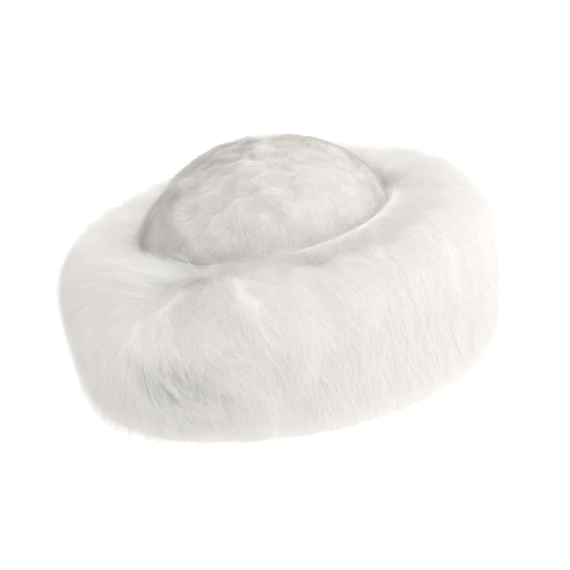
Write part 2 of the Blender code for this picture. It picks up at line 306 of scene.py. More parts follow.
def lie_angle(angle, along):
    """How far the hair turns from straight out and down towards the right."""
    away = from_seam(angle)
    reach = np.exp(-((away / SWEEP_REACH) ** 2))
    fade = 1 - SWEEP_LOSS * smooth_step(along / SWEEP_FADE)
    parted = SWEEP_ANGLE * np.tanh(away / SEAM_HALF_WIDTH) * reach * fade
    eddies = EDDY_ANGLE * slow_noise(angle, along, EDDY_SEED, EDDY_SIZE)
    crossing = patch(away, along, CROSSING_PLACE, CROSSING_SIZE)
    return parted + eddies + CROSSING_ANGLE * crossing


print("the hair turns by up to", round(math.degrees(SWEEP_ANGLE)), "degrees at the parting")

# %% [markdown]
# ## The skin under the long fur
#
# The hairs grow from a skin that lies some millimetres inside the fur's outline. It is a grid,
# with one row of points for each angle round the head. It could lie equally deep all over, but
# the fur is shallow by the lip, fuller at the foot, and has a valley behind the crown.

# %% The grid, and the skin's depth below the tips
AROUND, OVER = 288, 64
BEHIND_LEFT_REACH = 0.7
RIGHTMOST, RIGHT_SPREAD = 0.3, 0.2
FOOT_ZONE = (0.35, 0.85)  # zones are shares of the way from the lip to the foot
LIP_ZONE, STEEPER_BEHIND = 0.20, 0.13

ring_angle = np.linspace(0, 2 * math.pi, AROUND, endpoint=False)
over_share = np.linspace(0, 1, OVER)
angle_grid = np.repeat(ring_angle[:, None], OVER, axis=1)
away_grid = from_seam(angle_grid)
behind_left = near_angle(angle_grid, BEHIND_LEFT, BEHIND_LEFT_REACH)
behind_right = near_angle(angle_grid, BEHIND_RIGHT, BEHIND_REACH)
by_flare = near_angle(angle_grid, FLARE_ANGLE, FLARE_REACH)
at_right = np.exp((np.cos(angle_grid - RIGHTMOST) - 1) / RIGHT_SPREAD)

side_depth = FUR_DEPTH - DEEPER_AT_LEFT * np.cos(angle_grid)
side_depth = side_depth - SHALLOWER_BEHIND_LEFT * behind_left - SHALLOWER_AT_RIGHT * at_right
lip_start = -math.pi / 2 * LIP_RADIUS
length_grid = cuff_length(angle_grid, side_depth + DEEPER_AT_FOOT)
along_grid = lip_start + (length_grid - lip_start) * over_share[None, :]
lie_grid = lie_angle(angle_grid, along_grid)
lip_depth = FUR_DEPTH_AT_LIP + (FUR_DEPTH_BEHIND - FUR_DEPTH_AT_LIP) * behind_right
lip_depth = lip_depth + (FUR_DEPTH_AT_FLARE - FUR_DEPTH_AT_LIP) * by_flare
side_depth = side_depth + DEEPER_AT_FOOT * smooth_step(over_share, *FOOT_ZONE)
from_lip = smooth_step(over_share, 0, LIP_ZONE - STEEPER_BEHIND * behind_right)
depth_grid = lip_depth + (side_depth - lip_depth) * from_lip
print("skin depth:", round(float(depth_grid.min()) * 1000, 1), "to",
      round(float(depth_grid.max()) * 1000, 1), "mm")

# %% [markdown]
# ## Soft swellings
#
# Tufts push the hair up in soft swellings, so the skin has a relief too. It is noise that has
# been smeared along the lie of the hair, which gives long shapes and not round lumps. It is
# strongest beside the parting and at the back, and there is none in the parting's small hollow.

# %% A relief that follows the hair
TUFT_RELIEF = 0.0026
RELIEF_LIMIT = 2  # in standard deviations
FINE_SHARE, BROAD_SHARE = 0.6, 0.8
BACK_ZONE = (-0.10, 0.55)  # of the angle's sine
VALLEY_ZONE = (0.05, 0.30)
RUFFLED, RUFFLED_BY_SEAM, RUFFLED_AT_BACK = 0.15, 0.60, 0.55
RUFFLED_REACH = 0.080
HOLLOW_ZONE = (0.010, 0.055)


def smeared_noise(seed, grain, smear, steps=10):
    """Noise of that grain, averaged along the lie of the hair over that distance."""
    total = np.zeros_like(angle_grid)
    for direction in (-1, 1):
        angle, along = angle_grid.copy(), along_grid.copy()
        for step in range(steps):
            lie = lie_angle(angle, along)
            angle = angle + direction * np.sin(lie) * smear / steps / 2 / MIDDLE_RADIUS
            along = along + direction * np.cos(lie) * smear / steps / 2
            total += slow_noise(angle, along, seed, grain)
    return total / (2 * steps)


def near_seam(reach):
    """1 along the seam, fading to 0 on both sides of it."""
    return np.exp(-((away_grid / reach) ** 2))


at_back = smooth_step(np.sin(angle_grid), *BACK_ZONE)
at_back = at_back * (1 - behind_right * (1 - smooth_step(over_share, *VALLEY_ZONE)))
from_hollow = np.hypot(away_grid, along_grid - SEAM_DEEPEST)
ruffled = RUFFLED + RUFFLED_BY_SEAM * near_seam(RUFFLED_REACH) + RUFFLED_AT_BACK * at_back
ruffled = ruffled * smooth_step(from_hollow, *HOLLOW_ZONE)
fine = smeared_noise(11, grain=0.0060, smear=0.030)
broad = smeared_noise(12, grain=0.0150, smear=0.050)
relief = FINE_SHARE * (fine / fine.std()) + BROAD_SHARE * broad / broad.std()
print("relief up to", round(TUFT_RELIEF * 1000, 1), "mm")

# %% [markdown]
# ## The skin's points and directions
#
# The relief and a small dent at the seam move the points out and in, and beside the crown's flared
# left foot the lip is pushed away. Three directions at each point then say how a hair can lie:
# down over the section, round to the right, and out of the skin.

# %% Build the cuff's skin
UNDER_HEIGHT = 0.0012
PUSHED_SHARE, PUSHED_ZONE = 0.75, 0.30
LIP_EDGE, FOOT_EDGE = (0.02, 0.15), (0.0, 0.12)  # where the relief fades out

skin = on_cuff(angle_grid, along_grid, depth_grid)
pushed = PUSHED_SHARE * FLARE * by_flare * (1 - smooth_step(over_share, 0.0, PUSHED_ZONE))
skin[..., 0] += pushed * np.cos(angle_grid)
skin[..., 1] += pushed * np.sin(angle_grid)


def directions(points):
    """Unit vectors on the grid: down over the section, round to the right, and out of the skin."""
    over = np.gradient(points, axis=1)
    round_ = (np.roll(points, -1, axis=0) - np.roll(points, 1, axis=0)) / 2
    over /= np.linalg.norm(over, axis=2, keepdims=True)
    round_ /= np.linalg.norm(round_, axis=2, keepdims=True)
    out = np.cross(round_, over)
    out *= -1 if out[0, OVER // 2, 0] < 0 else 1
    out /= np.linalg.norm(out, axis=2, keepdims=True)
    return over, round_, out


dent = SEAM_DEPTH * near_seam(SEAM_HALF_WIDTH)
dent = dent * np.exp(-(((along_grid - SEAM_DEEPEST) / SEAM_REACH) ** 2))
edge_fade = smooth_step(over_share, *LIP_EDGE) * smooth_step(1 - over_share, *FOOT_EDGE)
swelling = np.clip(relief, -RELIEF_LIMIT, RELIEF_LIMIT) * TUFT_RELIEF / RELIEF_LIMIT
swelling = swelling * (edge_fade * ruffled)
skin = skin + directions(skin)[2] * (swelling - dent)[..., None]
skin[..., 2] = np.maximum(skin[..., 2], UNDER_HEIGHT)
over_way, round_way, out_way = directions(skin)
print("skin grid:", skin.shape)

# %% [markdown]
# ## How the hair starts at the lip
#
# By the lip the short hairs lean in over the crown's foot, so that no bare seam shows between the
# two pieces. They lean out in the valley, by the flared foot and at the parting, as the rest do.

# %% The flow of the hair, and the zones by the lip
INWARD_ZONE, INWARD_TURN, OUTWARD_AT_SEAM = (0.012, 0.075), 2.0, 0.035
AT_LIP, ON_TOP = (0.0, 0.14), (0.04, 0.26)
AT_SEAM, AT_SEAM_ZONE = 0.008, (0.05, 0.09)

flow = over_way * np.cos(lie_grid)[..., None] + round_way * np.sin(lie_grid)[..., None]
inwards = (1 - smooth_step(over_share, *INWARD_ZONE)) * (1 - np.maximum(behind_right, by_flare))
inwards = inwards * (1 - near_seam(OUTWARD_AT_SEAM))
flow = flow * (1 - INWARD_TURN * inwards)[..., None]
near_lip = (1 - smooth_step(over_share, *AT_LIP)) * np.ones_like(angle_grid)
on_top = (1 - smooth_step(over_share, *ON_TOP)) * np.ones_like(angle_grid)
at_seam = near_seam(AT_SEAM) * (1 - smooth_step(along_grid, *AT_SEAM_ZONE))
print("share of the skin whose hair leans in:", round(float((inwards > 0.5).mean()), 3))

# %% [markdown]
# ## How tightly the skin curves along the hair
#
# On the round shoulder the tip of a straight strand would stand off the skin. The curve of the
# skin along the hair says how far the tip has to drop. It is worked out from the section, because
# the relief would make a measured one jump about.

# %% The curve under each hair
SOFTLY = 0.008  # a bend starts and ends over this length

section_width, section_height, shoulder, foot = cuff_section(angle_grid, FUR_DEPTH)
shoulder_start = section_width - shoulder - LIP_RADIUS
wall_start = shoulder_start + math.pi / 2 * shoulder
foot_start = wall_start + section_height - shoulder - foot
on_shoulder = smooth_step(along_grid, shoulder_start - SOFTLY, shoulder_start + SOFTLY)
on_shoulder = on_shoulder * (1 - smooth_step(along_grid, wall_start - SOFTLY, wall_start + SOFTLY))
on_foot = smooth_step(along_grid, foot_start - SOFTLY, foot_start + SOFTLY)
curve_over = on_shoulder / shoulder + on_foot / foot
curve_round = 1 / (MIDDLE_RADIUS + CUFF_WIDTH / 2) * (1 - np.abs(out_way[..., 2]))
bend = curve_over * np.cos(lie_grid) ** 2 + curve_round * np.sin(lie_grid) ** 2
print("tightest curve:", round(1000 / float(bend.max())), "mm in radius")

# %% [markdown]
# ## One mesh from a grid
#
# The skins, the down and the crown are all rows of points, so one function joins the rows with
# four-sided faces. Plain mesh data is quicker here than a tree of nodes, and it carries numbers
# on its points, which is how the fur learns about its place.

# %% Meshes from rows of points
def grid_mesh(name, rows, closes_round=True, poles=()):
    """A mesh from rows of points, one row for each angle. Its ends can be closed with two poles."""
    count, steps = rows.shape[:2]
    index = np.arange(count * steps).reshape(count, steps)
    here, there = (index, np.roll(index, -1, axis=0)) if closes_round else (index[:-1], index[1:])
    faces = np.stack([here[:, :-1], here[:, 1:], there[:, 1:], there[:, :-1]], axis=-1)
    faces = faces.reshape(-1, 4).tolist()
    for pole, (first, second) in enumerate(((here, there), (there, here))[:len(poles)]):
        end = -1 if pole else 0
        faces += [(a, b, count * steps + pole) for a, b in zip(first[:, end].tolist(),
                                                                second[:, end].tolist())]
    mesh = bpy.data.meshes.new(name)
    mesh.from_pydata([*rows.reshape(-1, 3), *poles], [], faces)
    mesh.shade_smooth()
    return mesh


def add_object(name, mesh):
    made = bpy.data.objects.new(name, mesh)
    bpy.context.scene.collection.objects.link(made)
    return made


def carry(mesh, name, values):
    """Stores one value, or one vector, on each vertex of a mesh."""
    values = np.asarray(values, dtype=np.float32)
    kind = "FLOAT_VECTOR" if values.ndim > 1 else "FLOAT"
    attribute = mesh.attributes.new(name, kind, "POINT")
    attribute.data.foreach_set("vector" if values.ndim > 1 else "value", values.ravel())


# %% [markdown]
# ## Fur by Geometry Nodes
#
# A coat of fur is one strand, repeated. The tree scatters roots over a skin, lays a thin ribbon
# at each, and moves its points: along the lie of the hair, up from the skin, and down again as
# the skin curves away. It gathers the strands twice, in fine locks and in broad tufts, and that
# gathering is what makes a heap of hairs look like fur. Blender's own hair curves would have to
# become a mesh in the end, so the strands are meshes from the start. The sizes are inputs, so one
# tree grows every coat of the hat.

# %% The tree and its inputs
FUR_NUMBERS = ("Strands", "Length", "Width", "Lift", "Tallest", "Straying",
               "Tuft spacing", "Tuft pull", "Tuft straying",
               "Lock spacing", "Lock pull", "Lock straying", "Crimp height", "Crimp length")
FUR_COUNTS = ("Joints", "Map side", "Seed")

fur = bpy.data.node_groups.new("fur", "GeometryNodeTree")
for kind, names in (("Geometry", ("Skin",)), ("Float", FUR_NUMBERS), ("Int", FUR_COUNTS),
                    ("Material", ("Finish",))):
    for name in names:
        fur.interface.new_socket(name, in_out="INPUT", socket_type=f"NodeSocket{kind}")
fur.interface.new_socket("Fur", in_out="OUTPUT", socket_type="NodeSocketGeometry")
given = add_node(fur, "NodeGroupInput").outputs
print("fur inputs:", len(given) - 1)

# %% [markdown]
# ## Fields by name
#
# Most of the tree is sums. Each sum is written as a row: the name of what comes out, the
# operation, and what goes in. A row reads the tree's inputs, attributes of the skin or the
# strand, and earlier rows, all by their names.

# %% Sums as rows, and attributes that are kept
ATTRIBUTE_KINDS = {
    "FLOAT": ("cover", "growth", "loose", "gather", "bend", "crimp",
              "reach", "rise", "along", "across"),
    "FLOAT_VECTOR": ("flow", "root", "up", "side", "to_tuft", "to_lock",
                     "tuft_chance", "lock_chance"),
    "INT": ("number",),
}
KIND_OF = {name: kind for kind, names in ATTRIBUTE_KINDS.items() for name in names}
fields = {name: given[name] for name in (*FUR_NUMBERS, *FUR_COUNTS)}
for name, kind in KIND_OF.items():
    fields[name] = add_node(fur, "GeometryNodeInputNamedAttribute", {"Name": name}, data_type=kind)


def work_out(kind, rows):
    """Adds a node for each row: what comes out, the operation, and what goes in."""
    for name, operation, *sources in rows:
        inputs = {place: fields.get(source, source) for place, source in enumerate(sources)}
        fields[name] = add_node(fur, kind, inputs, operation=operation)


def keep(geometry, **kept):
    """Stores fields on a geometry as attributes, so that later steps can read them."""
    for name, source in kept.items():
        geometry = add_node(fur, "GeometryNodeStoreNamedAttribute",
                            {"Geometry": geometry, "Name": name, "Value": fields[source]},
                            data_type=KIND_OF[name], domain="POINT")
    return geometry


print("attributes that the fur reads:", len(KIND_OF))

# %% [markdown]
# ## Roots
#
# The strands are scattered at random, and more of them where the skin asks for a thicker cover.
# Each keeps its root, the way out of the skin there, and its number.

# %% Scatter the roots
work_out("ShaderNodeMath", [("density", "MULTIPLY", "Strands", "cover")])
scatter = add_node(fur, "GeometryNodeDistributePointsOnFaces",
                   {"Mesh": given["Skin"], "Density": fields["density"], "Seed": given["Seed"]})
fields["here"] = add_node(fur, "GeometryNodeInputPosition")
fields["order"] = add_node(fur, "GeometryNodeInputIndex")
fields["skin_normal"] = scatter.outputs["Normal"]
points = keep(scatter.outputs["Points"], root="here", up="skin_normal", number="order")

# %% [markdown]
# ## Tufts and locks
#
# Two sparser sets of points are the middles of the tufts and of the locks. Each strand finds the
# nearest of both, and shares with its neighbours the chance that it draws from them.

# %% Find the tuft and the lock of each strand
GUIDE_CROWD = 1.5
SEEDS = {"strand": 7, "tuft": 8, "lock": 9, "reach": 21, "rise": 22}

owners = {}
for name, seed in (("tuft", 100), ("lock", 101)):
    spacing = f"{name.capitalize()} spacing"
    work_out("ShaderNodeMath", [
        ("area", "MULTIPLY", spacing, spacing),
        ("crowd", "DIVIDE", GUIDE_CROWD, "area"),
        ("guide_seed", "ADD", "Seed", seed),
    ])
    guides = add_node(fur, "GeometryNodeDistributePointsOnFaces",
                      {"Mesh": given["Skin"], "Distance Min": given[spacing],
                       "Density Max": fields["crowd"], "Seed": fields["guide_seed"]},
                      distribute_method="POISSON")
    nearest = add_node(fur, "GeometryNodeSampleNearest",
                       {"Geometry": guides, "Sample Position": fields["here"]})
    fields["middle"] = add_node(fur, "GeometryNodeSampleIndex",
                                {"Geometry": guides, "Value": fields["here"], "Index": nearest},
                                data_type="FLOAT_VECTOR")
    work_out("ShaderNodeVectorMath", [("towards", "SUBTRACT", "middle", "here")])
    points = keep(points, **{f"to_{name}": "towards"})
    owners[name] = {"ID": nearest}
for name in ("strand", "tuft", "lock"):
    drawn = {0: (-1, -1, -1), 1: (1, 1, 1), "Seed": SEEDS[name], **owners.get(name, {})}
    fields[f"{name}_draw"] = add_node(fur, "FunctionNodeRandomValue", drawn,
                                      data_type="FLOAT_VECTOR")
points = keep(points, tuft_chance="tuft_draw", lock_chance="lock_draw")

# %% [markdown]
# ## Where a strand points, how long it is and how high it stands
#
# A strand follows the lie of the hair, but strays from it by itself, with its tuft and with its
# lock. Most strands lie low, and a few stand up: a chance to the fifth power gives that.

# %% The heading, reach and rise of each strand
SHORTEST, LONGEST = 0.50, 1.15  # of the length that is asked for
LEAST_RISE, EXTRA_RISE, RISE_POWER = 0.45, 1.1, 5.0
TUFT_SWELL = 0.35

fields["reach_draw"] = add_node(fur, "FunctionNodeRandomValue",
                                {2: SHORTEST, 3: LONGEST, "Seed": SEEDS["reach"]})
fields["rise_draw"] = add_node(fur, "FunctionNodeRandomValue",
                               {2: 0.0, 3: 1.0, "Seed": SEEDS["rise"]})
fields["tuft_level"] = add_node(fur, "ShaderNodeSeparateXYZ",
                                {0: fields["tuft_chance"]}).outputs["Z"]
work_out("ShaderNodeMath", [
    ("tuft_stray", "MULTIPLY", "Tuft straying", "gather"),
    ("lock_stray", "MULTIPLY", "Lock straying", "gather"),
    ("grown", "MULTIPLY", "reach_draw", "growth"),
    ("full_reach", "MULTIPLY", "grown", "Length"),
    ("seldom", "POWER", "rise_draw", RISE_POWER),
    ("own_rise", "MULTIPLY_ADD", "seldom", EXTRA_RISE, LEAST_RISE),
    ("tuft_rise", "MULTIPLY", "tuft_level", "gather"),
    ("swell", "MULTIPLY_ADD", "tuft_rise", TUFT_SWELL, 1.0),
    ("swollen", "MULTIPLY", "own_rise", "swell"),
    ("loosened", "MULTIPLY", "swollen", "loose"),
    ("full_rise", "MULTIPLY", "loosened", "Lift"),
])
work_out("ShaderNodeVectorMath", [
    ("strayed", "MULTIPLY_ADD", "strand_draw", "Straying", "flow"),
    ("tufted", "MULTIPLY_ADD", "tuft_draw", "tuft_stray", "strayed"),
    ("heading", "MULTIPLY_ADD", "lock_draw", "lock_stray", "tufted"),
    ("crosswise", "CROSS_PRODUCT", "skin_normal", "heading"),
    ("sideways", "NORMALIZE", "crosswise"),
])
points = keep(points, side="sideways", reach="full_reach", rise="full_rise")

# %% [markdown]
# ## One ribbon at every root
#
# A strand could be a tube, but a tube needs several faces where a flat ribbon needs one, and the
# difference doesn't show at a tenth of a millimetre. With two joints a strand is straight, and with
# more it bends and waves.

# %% Put a strip, one unit long and one wide, at every root
strip = add_node(fur, "GeometryNodeMeshGrid", {"Size X": 1.0, "Size Y": 1.0,
                                               "Vertices X": given["Joints"], "Vertices Y": 2})
on_strip = add_node(fur, "ShaderNodeSeparateXYZ", {0: fields["here"]})
fields["strip_length"], fields["strip_width"] = on_strip.outputs["X"], on_strip.outputs["Y"]
work_out("ShaderNodeMath", [("from_root", "ADD", "strip_length", 0.5)])
strip = keep(strip, along="from_root", across="strip_width")
strands = add_node(fur, "GeometryNodeInstanceOnPoints", {"Points": points, "Instance": strip})
strands = add_node(fur, "GeometryNodeRealizeInstances", {"Geometry": strands})

# %% [markdown]
# ## The place of each joint
#
# A strand runs ahead, rises in an arch that never gets taller than the coat, and drops as the
# skin curves away. It sways with its crimp and gets thinner to its tip. Then its tuft pulls at
# its tip and its lock at its whole length. A hair that would go through the floor ends above it.

# %% Move the joints
ARCH = 1.9
TIP_TAPER = 0.8
TUFT_POWER, LOCK_POWER = 1.4, 1.0
LOWEST, LOWEST_SPREAD = 0.0006, 0.002

lock_parts = add_node(fur, "ShaderNodeSeparateXYZ", {0: fields["lock_chance"]}).outputs
fields["lock_phase"], fields["lock_level"] = lock_parts["X"], lock_parts["Y"]
work_out("ShaderNodeMath", [
    ("run", "MULTIPLY", "reach", "along"),
    ("fall", "SUBTRACT", ARCH, "along"),
    ("arch", "MULTIPLY", "along", "fall"),
    ("stand", "MULTIPLY", "reach", "rise"),
    ("stand_share", "DIVIDE", "stand", "Tallest"),
    ("soft_share", "TANH", "stand_share"),
    ("soft_stand", "MULTIPLY", "soft_share", "Tallest"),
    ("height", "MULTIPLY", "soft_stand", "arch"),
    ("run_squared", "MULTIPLY", "run", "run"),
    ("half_bend", "MULTIPLY", "bend", 0.5),
    ("drop", "MULTIPLY", "run_squared", "half_bend"),
    ("clear", "SUBTRACT", "height", "drop"),
    ("waves", "DIVIDE", "run", "Crimp length"),
    ("phased", "ADD", "waves", "lock_phase"),
    ("wave_angle", "MULTIPLY", "phased", 2 * math.pi),
    ("wave", "SINE", "wave_angle"),
    ("wave_height", "MULTIPLY", "wave", "Crimp height"),
    ("crimp_here", "MULTIPLY", "crimp", "along"),
    ("sway", "MULTIPLY", "wave_height", "crimp_here"),
    ("along_squared", "MULTIPLY", "along", "along"),
    ("thinner", "MULTIPLY", "along_squared", TIP_TAPER),
    ("taper", "SUBTRACT", 1.0, "thinner"),
    ("full_breadth", "MULTIPLY", "across", "Width"),
    ("breadth", "MULTIPLY", "full_breadth", "taper"),
    ("aside", "ADD", "breadth", "sway"),
    ("tuft_share", "POWER", "along", TUFT_POWER),
    ("tuft_force", "MULTIPLY", "Tuft pull", "tuft_share"),
    ("tuft_pulled", "MULTIPLY", "tuft_force", "gather"),
    ("lock_share", "POWER", "along", LOCK_POWER),
    ("lock_force", "MULTIPLY", "Lock pull", "lock_share"),
    ("lock_pulled", "MULTIPLY", "lock_force", "gather"),
    ("floor_share", "ABSOLUTE", "lock_level"),
    ("lowest", "MULTIPLY_ADD", "floor_share", LOWEST_SPREAD, LOWEST),
])
work_out("ShaderNodeVectorMath", [
    ("ahead", "CROSS_PRODUCT", "side", "up"),
    ("on_skin", "MULTIPLY_ADD", "ahead", "run", "root"),
    ("raised", "MULTIPLY_ADD", "up", "clear", "on_skin"),
    ("set_aside", "MULTIPLY_ADD", "side", "aside", "raised"),
    ("in_tuft", "MULTIPLY_ADD", "to_tuft", "tuft_pulled", "set_aside"),
    ("in_lock", "MULTIPLY_ADD", "to_lock", "lock_pulled", "in_tuft"),
])
spot = add_node(fur, "ShaderNodeSeparateXYZ", {0: fields["in_lock"]}).outputs
fields["level"] = spot["Z"]
work_out("ShaderNodeMath", [("above_floor", "MAXIMUM", "level", "lowest")])
spot = add_node(fur, "ShaderNodeCombineXYZ", {0: spot["X"], 1: spot["Y"], 2: fields["above_floor"]})
placed = add_node(fur, "GeometryNodeSetPosition", {"Geometry": strands, "Position": spot})

# %% [markdown]
# ## The map and the finish
#
# Each strand has its own small field in the piece's map, in rows and columns, so that a baked
# picture can hold the colour of every one.

# %% Map the strands and finish the tree
FIELD_WIDTH, FIELD_HEIGHT, FIELD_EDGE = 0.7, 0.8, 0.1

work_out("ShaderNodeMath", [
    ("column", "MODULO", "number", "Map side"),
    ("rows_down", "DIVIDE", "number", "Map side"),
    ("row", "FLOOR", "rows_down"),
    ("column_middle", "ADD", "column", 0.5),
    ("row_edge", "ADD", "row", FIELD_EDGE),
    ("u", "MULTIPLY_ADD", "across", FIELD_WIDTH, "column_middle"),
    ("v", "MULTIPLY_ADD", "along", FIELD_HEIGHT, "row_edge"),
    ("map_u", "DIVIDE", "u", "Map side"),
    ("map_v", "DIVIDE", "v", "Map side"),
])
on_map = add_node(fur, "ShaderNodeCombineXYZ", {0: fields["map_u"], 1: fields["map_v"]})
mapped = add_node(fur, "GeometryNodeStoreNamedAttribute",
                  {"Geometry": placed, "Name": "OFBake", "Value": on_map},
                  data_type="FLOAT2", domain="CORNER")
smooth = add_node(fur, "GeometryNodeSetShadeSmooth", {"Geometry": mapped})
finished = add_node(fur, "GeometryNodeSetMaterial",
                    {"Geometry": smooth, "Material": given["Finish"]})
add_node(fur, "NodeGroupOutput", {"Fur": finished})
print("fur tree:", len(fur.nodes), "nodes")

# %% [markdown]
# ## Growing one coat
#
# Each coat is the same tree with other numbers. The result is kept as a plain mesh, because the
# export drops instances, and of its attributes only those that the finish reads are kept.

# %% Grow one coat of fur and keep it as a plain mesh
KEPT_ATTRIBUTES = {"along", "OFBake"}


def grow(name, skin_mesh, **sizes):
    """Runs the fur tree on a skin and returns the strands as an object of their own."""
    ground = add_object(f"{name}_skin", skin_mesh)
    modifier = ground.modifiers.new("fur", "NODES")
    modifier.node_group = fur
    for item in fur.interface.items_tree:
        key = item.name.lower().replace(" ", "_")
        if item.in_out == "INPUT" and key in sizes:
            modifier[item.identifier] = sizes[key]
    evaluated = ground.evaluated_get(bpy.context.evaluated_depsgraph_get())
    mesh = bpy.data.meshes.new_from_object(evaluated)
    bpy.data.objects.remove(ground)
    for left_over in [a.name for a in mesh.attributes if not a.is_internal]:
        if left_over not in KEPT_ATTRIBUTES and not mesh.attributes[left_over].is_required:
            mesh.attributes.remove(mesh.attributes[left_over])
    mesh.name = name
    mesh.calc_loop_triangles()
    print(name, len(mesh.loop_triangles), "triangles")
    return add_object(name, mesh)


# %% [markdown]
# ## The long fur of the cuff
#
# Over the cuff the coat changes. It is thicker at the lip and round the parting, shorter at the
# lip, in the valley and at the foot, and looser where it is ruffled. Each of these is one number
# on every point of the skin, which the tree reads where a strand grows.

# %% Where the coat is thick, long, loose, gathered and crimped
FRONT_LEFT_PLACE, FRONT_LEFT_REACH = 0.020, 0.065  # from the seam
PARTING_REACH = 0.024
CRIMPED_PLACE, CRIMPED_SIZE = (-0.008, 0.112), (0.020, 0.016)  # from the seam, and from the lip
front_left = np.exp(-(((away_grid - FRONT_LEFT_PLACE) / FRONT_LEFT_REACH) ** 2))
round_parting = np.exp(-((from_hollow / PARTING_REACH) ** 2))
crimped = patch(away_grid, along_grid, CRIMPED_PLACE, CRIMPED_SIZE)

THICKER_AT_LIP, THICKER_AT_SEAM, THICKER_AT_PARTING, THINNER_AT_CRIMP = 2.0, 1.2, 0.6, 0.40
cover = 1.0 + THICKER_AT_LIP * near_lip ** 2 + THICKER_AT_SEAM * at_seam
cover = (cover + THICKER_AT_PARTING * round_parting) * (1.0 - THINNER_AT_CRIMP * crimped)

SHORTER_AT_LIP, SHORTER_IN_VALLEY, SHORTER_AT_FLARE, SHORTER_AT_FOOT = 0.15, 0.6, 0.35, 0.25
LONGER_INWARDS = 0.15
growth = (1.0 - SHORTER_AT_LIP * near_lip) * (1.0 - SHORTER_IN_VALLEY * behind_right * near_lip)
growth = growth * (1.0 - SHORTER_AT_FLARE * by_flare * near_lip) * (1.0 + LONGER_INWARDS * inwards)
growth = growth * (1.0 - SHORTER_AT_FOOT * on_foot)

LOOSE, LOOSER_RUFFLED, SLEEKER_AT_FOOT = 0.85, 0.30, 0.25
SLEEKER_ON_TOP, SLEEKER_AT_RIGHT, RIGHT_OF_SEAM = 0.15, 0.35, (0.01, 0.06)
SLEEKER_AT_PARTING = 0.15
sleek_top = SLEEKER_ON_TOP + SLEEKER_AT_RIGHT * smooth_step(away_grid, *RIGHT_OF_SEAM)
loose = (LOOSE + LOOSER_RUFFLED * ruffled - SLEEKER_AT_FOOT * on_foot) * (1.0 - sleek_top * on_top)
loose = loose * (1.0 - SLEEKER_AT_PARTING * round_parting)

GATHER, GATHER_AT_FRONT_LEFT, GATHER_AT_FLARE, GATHER_AT_BACK = 0.25, 0.75, 0.6, 0.6
gather = GATHER + GATHER_AT_FRONT_LEFT * front_left + GATHER_AT_FLARE * by_flare * near_lip
gather = gather + GATHER_AT_BACK * at_back

CRIMP, CRIMP_AT_FRONT_LEFT, CRIMP_ZONE = 0.25, 0.9, (0.06, 0.11)
crimp = CRIMP + CRIMP_AT_FRONT_LEFT * front_left * smooth_step(along_grid, *CRIMP_ZONE)
cuff_attributes = {
    "flow": flow, "bend": bend, "cover": cover, "growth": growth,
    "loose": loose, "gather": gather, "crimp": crimp,
}
print("cover up to", round(float(cover.max()), 1), "and length down to",
      round(float(growth.min()), 2), "of the full values")

# %% [markdown]
# ## Four quarters
#
# The coat is grown in four quarters, so that no one mesh gets heavy. Each strand stands for a
# pencil of real fibres: drawn finer, they would be lost between the pixels.

# %% Grow the long fur
QUARTERS = (("front_left", 180), ("front_right", 270), ("back_right", 0), ("back_left", 90))


def cuff_skin(name, first_degree, degrees, **changed):
    """The part of the skin between two angles, with what its hairs need to know."""
    first, steps = round(first_degree / 360 * AROUND), round(degrees / 360 * AROUND)
    rows = [(first + step) % AROUND for step in range(steps + 1)]
    mesh = grid_mesh(name, skin[rows], closes_round=False)
    for attribute, values in {**cuff_attributes, **changed}.items():
        picked = values[rows]
        carry(mesh, attribute, picked.reshape(-1, 3) if picked.ndim == 3 else picked.ravel())
    return mesh


cuff_fur = []
for number, (name, first_degree) in enumerate(QUARTERS):
    quarter = cuff_skin(f"{name}_skin", first_degree, 90)
    cuff_fur.append(grow(
        f"cuff_fur_{name}", quarter, seed=number, finish=long_fur, strands=1375e3, joints=2,
        length=0.0235, width=0.00009, lift=1.00, tallest=0.0140, straying=0.50,
        tuft_spacing=0.014, tuft_pull=0.28, tuft_straying=0.50,
        lock_spacing=0.0036, lock_pull=0.20, lock_straying=0.15,
        crimp_height=0.0009, crimp_length=0.0085, map_side=320))

# %% [markdown]
# ## Guard hair, and the crimped locks
#
# Some hairs of the fleece are longer and curve more. They give the coat its soft edge, and low
# down beside the parting, where the fleece was not combed out, they keep the crimp of the yarn.

# %% Grow the guard hair and the crimped locks
GUARD_COVER, MORE_GUARD_AT_FRONT_LEFT = 0.45, 0.4
LESS_GUARD_AT_LIP, LESS_GUARD_AT_CRIMP = 0.5, 0.75
guard_cover = GUARD_COVER + MORE_GUARD_AT_FRONT_LEFT * front_left
guard_cover = guard_cover * (1 - LESS_GUARD_AT_LIP * near_lip * (1 - by_flare))
guard_cover = guard_cover * (1 - LESS_GUARD_AT_CRIMP * crimped)
guard_skin = cuff_skin("guard_skin", 0, 360, cover=guard_cover)
guard = grow(
    "cuff_guard_hair", guard_skin, seed=20, finish=long_fur, strands=270e3, joints=4,
    length=0.026, width=0.00009, lift=1.30, tallest=0.0147, straying=0.60,
    tuft_spacing=0.015, tuft_pull=0.30, tuft_straying=0.65,
    lock_spacing=0.0055, lock_pull=0.15, lock_straying=0.10,
    crimp_height=0.0008, crimp_length=0.020, map_side=220)
crimped_skin = cuff_skin("crimped_skin", 180, 90, cover=crimped, crimp=np.ones_like(crimped))
locks = grow(
    "cuff_crimped_locks", crimped_skin, seed=21, finish=long_fur, strands=1400e3, joints=15,
    length=0.024, width=0.00014, lift=1.10, tallest=0.0150, straying=0.12,
    tuft_spacing=0.012, tuft_pull=0.30, tuft_straying=0.30,
    lock_spacing=0.0050, lock_pull=0.35, lock_straying=0.15,
    crimp_height=0.0014, crimp_length=0.0075, map_side=120)
cuff_fur += [guard, locks]

